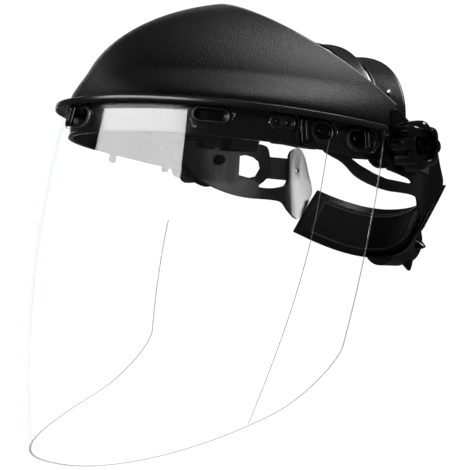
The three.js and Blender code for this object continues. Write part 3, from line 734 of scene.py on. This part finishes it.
def add_crown(looks):
    """The dome, with a painted highlight along its cut edge as a pale line, and the round ear at each side.
    """
    def face(inset):
        def at(u, v):
            deg = mix(-CROWN["end"], CROWN["end"], u)
            return crown_point(crown_top(deg) * v ** CROWN_ROWS_POWER, deg, inset)
        return at

    steps, rows = 200, 60
    points, faces, _ = shell(steps, rows, face(0), face(CROWN["wall"]))
    dome = make("crown_dome", points, faces, looks["crown"])
    # outer faces within line of the open edge take the pale look: a painted highlight along the edge
    dome.data.materials.append(looks["cut"])
    tops = crown_top(np.linspace(-CROWN["end"], CROWN["end"], steps))
    for index, polygon in enumerate(list(dome.data.polygons)[:steps * rows]):
        row, column = divmod(index, steps)
        below = tops[column] * (1 - ((row + 0.5) / rows) ** CROWN_ROWS_POWER) * CROWN["height"]
        if below < CROWN_CUT["line"]:
            polygon.material_index = 1
    round_edges(dome, 0.8, segments=4, angle=50)
    finish_piece(dome, "shield", "crown_plastic", "crown")

    outline = [(-9, 17), (-6, 22), (3, 17), (13, 10), (17, 0), (15, -10), (9, -17), (0, -16.5),
               (-7, -12), (-9.4, 0)]
    for side, word in ((1, "left"), (-1, "right")):
        ear = side_plate("crown_ear_" + word, smooth_loop(outline, 72), [circle(4.2, 28)],
                         side * EAR["x"], side * EAR["thick"], looks["crown"])
        round_edges(ear, 0.7, segments=3, angle=50)
        finish_piece(ear, "shield", "crown_plastic")


def circle(radius, count):
    angles = [2 * math.pi * k / count for k in range(count)]
    return [(radius * math.cos(angle), radius * math.sin(angle)) for angle in angles]


def smooth_loop(corners, count):
    """A closed smooth curve through corner points, as count points."""
    corners = np.array(corners, float)
    n = len(corners)
    out = []
    for k in range(count):
        t = k * n / count
        i, f = int(t), t - int(t)
        p0, p1, p2, p3 = (corners[(i + d) % n] for d in (-1, 0, 1, 2))
        out.append(tuple(0.5 * (2 * p1 + (p2 - p0) * f + (2 * p0 - 5 * p1 + 4 * p2 - p3) * f * f
                                + (3 * p1 - p0 - 3 * p2 + p3) * f ** 3)))
    return out


def side_plate(name, outline, holes, x, thick, material):
    """A plate in the Y-Z plane with holes, from x to x + thick."""
    shape = bmesh.new()
    loops = []
    for loop in [outline, *holes]:
        verts = [shape.verts.new((x * MM, y * MM, z * MM)) for y, z in loop]
        loops.append([shape.edges.new((verts[i], verts[(i + 1) % len(verts)])) for i in range(len(verts))])
    edges = [edge for loop in loops for edge in loop]
    bmesh.ops.triangle_fill(shape, use_beauty=True, use_dissolve=True, edges=edges)
    made = bmesh.ops.extrude_face_region(shape, geom=list(shape.faces))
    moved = [g for g in made["geom"] if isinstance(g, bmesh.types.BMVert)]
    bmesh.ops.translate(shape, verts=moved, vec=(thick * MM, 0, 0))
    bmesh.ops.recalc_face_normals(shape, faces=shape.faces)
    mesh = bpy.data.meshes.new(name)
    shape.to_mesh(mesh)
    shape.free()
    mesh.polygons.foreach_set("use_smooth", [True] * len(mesh.polygons))
    mesh.materials.append(material)
    piece = bpy.data.objects.new(name, mesh)
    bpy.context.scene.collection.objects.link(piece)
    return piece


def add_rim_lip(looks):
    """The lip round the crown's foot, with a rolled bead at its outer edge."""
    half, steps = LIP["half"], 8
    angles = [math.pi * (k / steps - 0.5) for k in range(steps + 1)]
    section = [(0.93 + 0.07 * math.cos(a), 1.25 * half * math.sin(a)) for a in angles]
    section += [(0.84, half * 0.8), (0.7, half * 0.78), (0.4, half * 0.9), (0.05, half), (0, half * 0.7),
                (0, -half * 0.7), (0.05, -half), (0.4, -half * 0.9), (0.7, -half * 0.78), (0.84, -half * 0.8)]

    def place(t, a, b):
        deg = mix(-LIP["end"], LIP["end"], t)
        droop = LIP["droop"] * np.clip((a - 0.35) / 0.65, 0, 1) ** 2
        return band_point(deg, mix(-BAND_WALL, LIP["side"], a), mix(-BAND_WALL, LIP["front"], a), b - droop)

    add_piece("rim_lip_rolled", swept(220, section, place), looks["lip"], "shield", "lip_plastic", "rim_lip",
              width=0.4, angle=60)


def add_brow_band(looks):
    """The band with its ribs, and an oval ring round each pocket."""
    top = -LIP["half"] - GAP

    def face(out):
        return lambda u, v: band_point(mix(-BAND_END, BAND_END, u), out, out, mix(top, -BAND_HEIGHT, v))

    wall = shell(200, 6, face(0), face(-BAND_WALL))[:2]
    add_piece("brow_band_moulded", wall, looks["band"], "shield", "band_plastic", "brow_band",
              width=0.5, segments=3)

    for name, lift, half in (("lower", -19.0, 0.9), ("upper", -3.2, 0.45)):
        arc = [(math.cos(math.radians(a)), math.sin(math.radians(a))) for a in range(-90, 91, 30)]
        section = [(0.1 + 0.4 * c, half * s) for c, s in arc] + [(-0.6, half), (-0.6, -half)]
        rib = swept(200, section, lambda t, a, b, lift=lift: band_point(
            mix(-BAND_END, BAND_END, t), a, a, lift + b))
        add_piece("brow_band_rib_" + name, rib, looks["band"], "shield", "band_plastic")

    for k, boss in enumerate(BOSSES):
        add_boss(looks, k + 1, boss)


def add_boss(looks, number, boss):
    """A raised oval ring with a dished pocket that holds two small studs."""
    deg, long, tall, up = boss
    place = band_local(deg, up)
    steps, pocket_rows = 56, 3
    rise = BOSS_RISE
    profile = [  # growth of the outline, height over the band
        (0.0, -0.4), (-0.05, rise * 0.7), (-0.3, rise * 0.93), (-0.7, rise), (-1.3, rise),
        (-1.7, rise * 0.93), (-BOSS_RING, rise * 0.7), (-BOSS_RING - 0.1, 0.25), (-BOSS_RING - 0.5, 0.08),
    ]
    points, faces = [], []
    for grow, out in profile:
        for along, rise_z in slot_outline(long + 2 * grow, tall + 2 * grow, steps // 2 - 1):
            points.append(place(along, rise_z, out))
    for row in range(len(profile) - 1):
        for i in range(steps):
            j = (i + 1) % steps
            faces.append((row * steps + i, row * steps + j, (row + 1) * steps + j, (row + 1) * steps + i))
    last = (len(profile) - 1) * steps
    faces.append(tuple(last + i for i in range(steps)))
    faces.append(tuple(range(steps))[::-1])
    # the ring's lighter look is a painted highlight of its rims
    ring = make("boss_%d_ring" % number, points, faces, looks["ring"])
    ring.data.materials.append(looks["grey" if number in BOSS_PLATES else "band"])
    for polygon in list(ring.data.polygons)[(len(profile) - pocket_rows) * steps:]:
        polygon.material_index = 1
    finish_piece(ring, "shield", "band_plastic")
    if number in BOSS_PLAIN:
        return
    reach = long / 2 - tall / 2
    for word, along in (("a", -reach * 0.8), ("b", reach * 0.8)):
        stud_radius = min(1.6, tall * 0.17)
        stud_shape = ((0.0, 1.3), (0.6, 1.25), (0.9, 1.0), (1.0, 0.6), (1.0, -0.2))
        section = [(r * stud_radius, h) for r, h in stud_shape]
        stud = turned(section, 20, lambda x, y, z, along=along: place(along + x, y, z))
        add_piece("boss_%d_stud_%s" % (number, word), stud, looks["frame"], "shield", "band_plastic")


def turned(section, count, place):
    """A closed turned shape: section is (radius, height) from the axis outward."""
    points, faces, n = [], [], len(section)
    for k in range(count):
        angle = 2 * math.pi * k / count
        for r, h in section[1:]:
            points.append(place(r * math.cos(angle), r * math.sin(angle), h))
    m = n - 1
    tip = len(points)
    points.append(place(0, 0, section[0][1]))
    for k in range(count):
        here, there = k * m, ((k + 1) % count) * m
        faces.append((tip, here, there))
        for i in range(m - 1):
            faces.append((here + i, here + i + 1, there + i + 1, there + i))
    faces.append(tuple(k * m + m - 1 for k in range(count))[::-1])
    return np.array([np.asarray(p, float).reshape(3) for p in points]), faces


def add_hooks(looks):
    """Each lug: a rounded plate with a raised rib, on its stem."""
    for hook in HOOKS:
        name, deg, wide, up, tall = hook
        frame = band_frame(deg, up)
        lean = -math.radians(HOOK_LEAN["side"] + HOOK_LEAN["front"] * math.cos(math.radians(deg)) ** 2)
        move = Matrix.Translation((0, 0, HOOK_OUT))
        tilt = move @ Matrix.Rotation(lean, 4, "X") @ move.inverted()
        face = HOOK_OUT + HOOK_THICK
        plate = block(rounded_box(wide, tall, min(wide, tall) * 0.3), frame @ tilt, HOOK_OUT, face)
        add_piece(name + "_plate", plate, looks["band"], "shield", "band_plastic", name,
                  width=0.5, segments=3)
        rib = block(rounded_box(wide * 0.22, tall * 0.72, wide * 0.1), frame @ tilt, face - 0.3, face + 0.8)
        add_piece(name + "_rib", rib, looks["lip"], "shield", "band_plastic", width=0.25)
        stem = stem_block(hook, 0, 0.4, HOOK_OUT + 0.6)
        add_piece(name + "_stem", stem, looks["band"], "shield", "band_plastic", width=0.3)


def rounded_box(wide, tall, corner):
    """A box outline about the origin with rounded corners, in mm."""
    points, steps = [], 5
    for sx, sy, start in ((1, 1, 0), (-1, 1, 90), (-1, -1, 180), (1, -1, 270)):
        for k in range(steps + 1):
            angle = math.radians(start + 90 * k / steps)
            points.append((sx * (wide / 2 - corner) + corner * math.cos(angle),
                           sy * (tall / 2 - corner) + corner * math.sin(angle)))
    return points


# -------------------- headgear pieces
def dress(frame, looks, node, look, width=0.35, segments=2):
    """Gives a CAD node its material, and rounds its edges by modifiers alone."""
    piece = frame["nodes"][node]
    piece.data.materials.clear()
    piece.data.materials.append(looks[look])
    custom = piece.data.attributes.get("custom_normal")
    if custom:
        piece.data.attributes.remove(custom)
    piece.data.polygons.foreach_set("use_smooth", [True] * len(piece.data.polygons))
    piece.data.polygons.foreach_set("material_index", [0] * len(piece.data.polygons))
    return round_edges(piece, width, segments=segments, angle=32, weld=0.004)


def dress_cad(frame, looks):
    plain = {"frame": ["front_headband", "pivot_post", "nape_band", "side_arm_left"], "grey": ["bridge_tab"],
             "strap": ["rack_strap"], "steel": ["top_pin"], "black_steel": ["pivot_bolt", "tension_washer"]}
    for look, stems in plain.items():
        for stem in stems:
            for node in [n for n in frame["nodes"] if n.startswith(stem)]:
                dress(frame, looks, node, look)
    dress(frame, looks, "side_arm_right", "yoke")
    dress(frame, looks, "ratchet_housing", "housing", 0.6, 3)


def add_top_straps(looks):
    """Two moulded straps with raised borders and a row of size holes."""
    count, ridge = STRAP_HOLES["count"], 1.3
    for name, strap in (("top_strap_front", TOP_FRONT), ("top_strap_rear", TOP_REAR)):
        half = strap["wide"] / 2
        edge = [(half - ridge - 0.4, 1.1), (half - ridge, 1.6), (half - 0.3, 1.55), (half, 1.2), (half, 0.1),
                (half - 0.2, 0)]
        section = [(-a, b) for a, b in edge[::-1]] + edge
        points, faces = swept(120, section, lambda t, a, b, strap=strap: strap_point(
            strap, mix(3, 177, t), a, b))
        band = make(name + "_moulded", points, faces, looks["strap"])
        cutters = []
        for k in range(count):
            deg = 90 + (k - (count - 1) / 2) * STRAP_HOLES["step"]
            here = Vector(strap_point(strap, deg, 0, 0))
            out = (Vector(strap_point(strap, deg, 0, 1)) - here).normalized()
            turn = out.to_track_quat("Z", "Y").to_matrix().to_4x4()
            turn.translation = here
            cutters.append(block(circle(STRAP_HOLES["radius"], 16), turn, -2, 4))
        cut_out(band, cutters)
        round_edges(band, 0.2, segments=2, angle=55)
        finish_piece(band, "headgear", "strap_plastic", name)


def add_tension_knobs(looks):
    """Lobed knobs: a scalloped body, a rounded shoulder and a dished hub."""
    x0, depth = PIVOT["knob_x"], PIVOT["depth"]
    bore = PIVOT["bolt"] + GAP
    profile = [  # radius, depth fraction, share of the lobes
        (bore, 0.0, 0), (11.0, 0.0, 0.3), (12.6, 0.04, 0.9), (13.1, 0.12, 1), (13.1, 0.55, 1),
        (12.8, 0.76, 1), (12.2, 0.88, 0.85), (11.3, 0.96, 0.55), (10.4, 1.0, 0.15), (9.4, 0.995, 0),
        (8.8, 0.96, 0), (8.4, 0.78, 0), (8.0, 0.74, 0), (bore, 0.74, 0),
    ]
    steps = 160
    for side, word in ((1, "left"), (-1, "right")):
        points, faces = [], []
        n = len(profile)
        for k in range(steps):
            angle = 2 * math.pi * k / steps
            lobe = KNOB_LOBE_HALF * (abs(math.cos(KNOB_LOBES * angle / 2)) ** 0.8 * 2 - 1)
            for radius, along, share in profile:
                r = radius + share * lobe
                points.append((side * (x0 + depth * along), r * math.cos(angle), r * math.sin(angle)))
        for k in range(steps):
            here, there = k * n, ((k + 1) % steps) * n
            for i in range(n):
                j = (i + 1) % n
                faces.append((here + i, here + j, there + j, there + i))
        node = "tension_knob_" + word
        add_piece(node + "_lobed", (points, faces), looks["knob"], node, "knob_plastic", node, width=0.35)


def add_ratchet_knob(looks):
    """The star knob at the back: six spikes that thin toward their tips, and a dished face."""
    r = RATCHET
    middle, half_deep, half_spike = 4.75, 3.4, 0.17   # half_spike: share of the turn between spikes
    section = [(0, 7.4), (8.9, 7.5), (9.4, 8.9), (10, 9.4), (12.4, 9.5), (13.3, 9.1), (13.7, 8.3)]
    section += [(r["radius"], middle + half_deep * k / 4) for k in range(4, -5, -1)]
    section += [(13.7, 1.1), (13.2, 0.2), (12.6, 0.0), (r["shaft"], 0.0), (r["shaft"], -r["inside"])]

    def place(x, z, h):
        radius = math.hypot(x, z)
        if radius > r["radius"] - 0.1:
            turns = (math.degrees(math.atan2(z, x)) - r["turn"]) * r["spikes"] / 360
            share = abs(turns - round(turns))
            spike = max(0.0, 1 - share / half_spike) ** 0.8
            thin = math.sqrt(max(0.0, 1 - ((h - middle) / half_deep) ** 2))
            grown = 1 + (r["tip"] / r["radius"] - 1) * spike * thin
            x, z = x * grown, z * grown
        return (x, r["knob_y"] + h, r["z"] + z)

    add_piece("ratchet_knob_star", turned(section, 216, place), looks["knob"], "ratchet_knob",
              "knob_plastic", "ratchet_knob", width=0.3)


# -------------------- soft pads
def remesh_and_puff(piece, voxel, cap):
    """Puffs a closed pad by cloth simulation, and keeps each point within cap of its start. Sizes in mm."""
    remesh = piece.modifiers.new("remesh", "REMESH")
    remesh.mode = "VOXEL"
    remesh.voxel_size = voxel * MM
    apply_modifiers(piece)
    start = np.zeros(len(piece.data.vertices) * 3)
    piece.data.vertices.foreach_get("co", start)
    cloth = piece.modifiers.new("cloth", "CLOTH")
    cloth.settings.quality = 6
    cloth.settings.mass = 0.2
    cloth.settings.tension_stiffness = 12
    cloth.settings.compression_stiffness = 12
    cloth.settings.bending_stiffness = 1.5
    cloth.settings.use_pressure = True
    cloth.settings.uniform_pressure_force = PAD_PRESSURE
    cloth.settings.effector_weights.gravity = 0
    cloth.point_cache.frame_start = 1
    cloth.point_cache.frame_end = PAD_FRAMES
    scene = bpy.context.scene
    for frame_number in range(1, PAD_FRAMES + 1):
        scene.frame_set(frame_number)
    apply_modifiers(piece)
    scene.frame_set(1)
    end = np.zeros_like(start)
    piece.data.vertices.foreach_get("co", end)
    move = (end - start).reshape(-1, 3)
    length = np.linalg.norm(move, axis=1, keepdims=True)
    move *= np.minimum(1, cap * MM / np.maximum(length, 1e-9))
    piece.data.vertices.foreach_set("co", (start.reshape(-1, 3) + move).ravel())
    piece.data.polygons.foreach_set("use_smooth", [True] * len(piece.data.polygons))
    piece.modifiers.new("fine", "SUBSURF").levels = 1
    piece.modifiers["fine"].render_levels = 1
    return piece


def add_nape_pad(looks):
    """The pad inside the nape band, with a sewn line just inside its edge."""
    shrink = 0.6

    def face(out):
        return lambda u, v: nape_point(mix(0.03, 0.97, u), mix(0.08, 0.92, v), out)

    points, faces, _ = shell(60, 10, face(-GAP - shrink), face(-GAP - PAD_THICK + shrink))
    pad = make("nape_pad_padded", points, faces, looks["pad"])
    remesh_and_puff(pad, 2.2, 0.5)
    finish_piece(pad, "nape_unit", "pad_foam", "nape_pad")
    across, down = np.linspace(0.08, 0.92, 60), np.linspace(0.17, 0.83, 10)
    loop = [(u, down[0]) for u in across] + [(across[-1], v) for v in down[1:]]
    loop += [(u, down[-1]) for u in across[::-1][1:]] + [(across[0], v) for v in down[::-1][1:-1]]
    add_piping("nape_pad_seam", looks["thread"], "nape_unit", loop,
               lambda u, v, out: nape_point(u, v, -GAP - PAD_THICK - 0.05 + out))


def add_piping(name, material, body, loop, place):
    """A thin sewn cord that follows a closed loop of (u, v) on a surface."""
    middles = [Vector(place(u, v, 0)) for u, v in loop]
    n, sides = len(middles), 8
    points, faces = [], []
    for k, here in enumerate(middles):
        along = (middles[(k + 1) % n] - middles[k - 1]).normalized()
        out = Vector(place(*loop[k], 1)) - here
        out = (out - along * out.dot(along)).normalized()
        across = along.cross(out)
        for i in range(sides):
            angle = 2 * math.pi * i / sides
            points.append(tuple(here + PIPING * (math.cos(angle) * out + math.sin(angle) * across)))
    for k in range(n):
        here, there = k * sides, ((k + 1) % n) * sides
        for i in range(sides):
            j = (i + 1) % sides
            faces.append((here + i, here + j, there + j, there + i))
    add_piece(name, (points, faces), material, body, "pad_foam")


def add_sweatband(looks):
    """The soft lining of the front headband."""
    def face(out):
        def at(u, v):
            deg = mix(-SWEATBAND["end"], SWEATBAND["end"], u)
            side = ease(np.clip((np.abs(deg) - 30) / 36, 0, 1))
            z = mix(mix(26, 15, side), mix(2, -3, side), v)
            return ring_point(deg, out - FRAME_WALL - 2 * GAP, z)
        return at

    points, faces, _ = shell(80, 10, face(-SWEATBAND["front"]), face(-SWEATBAND["back"]))
    pad = make("sweatband_padded", points, faces, looks["pad"])
    remesh_and_puff(pad, 2.2, 0.6)
    finish_piece(pad, "headgear", "pad_foam", "sweatband")


# -------------------- stage
def add_camera():
    data = bpy.data.cameras.new("camera")
    data.lens, data.sensor_width = LENS, SENSOR
    data.shift_x, data.shift_y = SHIFT
    camera = bpy.data.objects.new("camera", data)
    back = CAMERA_RIGHT.cross(CAMERA_UP)
    turn = Matrix((CAMERA_RIGHT, CAMERA_UP, back)).transposed().to_4x4()
    turn.translation = CAMERA_AT
    camera.matrix_world = turn
    bpy.context.scene.collection.objects.link(camera)
    bpy.context.scene.camera = camera


def add_floor(low):
    size = 12.0
    z = low.z - FLOOR_DROP
    mesh = bpy.data.meshes.new("floor")
    corners = [(-size, -size, z), (size, -size, z), (size, size, z), (-size, size, z)]
    mesh.from_pydata(corners, [], [(0, 1, 2, 3)])
    floor = bpy.data.objects.new("floor", mesh)
    bpy.context.scene.collection.objects.link(floor)
    n = Nodes("pale_floor")
    cloudy = n.colour_mix(n.noise(3, 2), grey(0.02), grey(0.03))
    matt = n.add("ShaderNodeBsdfDiffuse")
    n.link(cloudy, matt.inputs["Color"])
    glow = n.add("ShaderNodeEmission", Strength=PALE)
    both = n.add("ShaderNodeAddShader")
    n.link(matt.outputs[0], both.inputs[0])
    n.link(glow.outputs[0], both.inputs[1])
    mesh.materials.append(n.surface(both.outputs[0]))
    floor.visible_glossy = False
    floor.visible_diffuse = False
    floor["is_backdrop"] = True


def add_softbox(name, place, target, size, power):
    data = bpy.data.lights.new(name, "AREA")
    data.shape = "RECTANGLE"
    data.size, data.size_y = size
    data.energy = power
    light = bpy.data.objects.new(name, data)
    light.location = place
    light.rotation_mode = "QUATERNION"
    light.rotation_quaternion = (Vector(target) - Vector(place)).to_track_quat("-Z", "Y")
    light.visible_camera = False
    bpy.context.scene.collection.objects.link(light)
    return light


def shine_on(light, names, state):
    """Limits a light to the pieces whose names start with one of these, or with EXCLUDE leaves them out."""
    reached = bpy.data.collections.new(light.name + "_receivers")
    for piece in bpy.context.scene.objects:
        if piece.type == "MESH" and piece.name.startswith(tuple(names)):
            reached.objects.link(piece)
    for item in reached.collection_objects:
        item.light_linking.link_state = state
    light.light_linking.receiver_collection = reached


def add_lights():
    for name, place, target, size, power, unseen, state, names in SOFTBOXES:
        light = add_softbox(name, place, target, size, power)
        if unseen:
            setattr(light, "visible_" + unseen, False)
        if names:
            shine_on(light, names, state)


def add_world():
    """White to look at, and dimmer as a light, so that black plastics stay black."""
    world = bpy.data.worlds.new("studio")
    bpy.context.scene.world = world
    world.use_nodes = True
    tree = world.node_tree
    background = tree.nodes["Background"]
    background.inputs["Color"].default_value = (1, 1, 1, 1)
    rays = tree.nodes.new("ShaderNodeLightPath")
    strength = tree.nodes.new("ShaderNodeMapRange")
    strength.inputs["To Min"].default_value = FILL
    strength.inputs["To Max"].default_value = PALE
    tree.links.new(rays.outputs["Is Camera Ray"], strength.inputs["Value"])
    tree.links.new(strength.outputs["Result"], background.inputs["Strength"])
    bpy.context.scene.view_settings.view_transform = "Standard"


def main():
    bpy.context.scene.unit_settings.system = "METRIC"
    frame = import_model()
    cad_low, cad_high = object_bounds()
    add_camera()
    looks = make_materials()
    add_window(looks)
    add_score_line(looks)
    add_crown(looks)
    add_rim_lip(looks)
    add_brow_band(looks)
    add_hooks(looks)
    dress_cad(frame, looks)
    add_top_straps(looks)
    add_tension_knobs(looks)
    add_ratchet_knob(looks)
    add_nape_pad(looks)
    add_sweatband(looks)
    add_floor(cad_low)
    add_lights()
    add_world()
    return cad_low, cad_high


def write_size(cad_low, cad_high):
    low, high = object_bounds()
    {"cad": [list(cad_low), list(cad_high)], "visual": [list(low), list(high)]}


cad_box = main()
write_size(*cad_box)
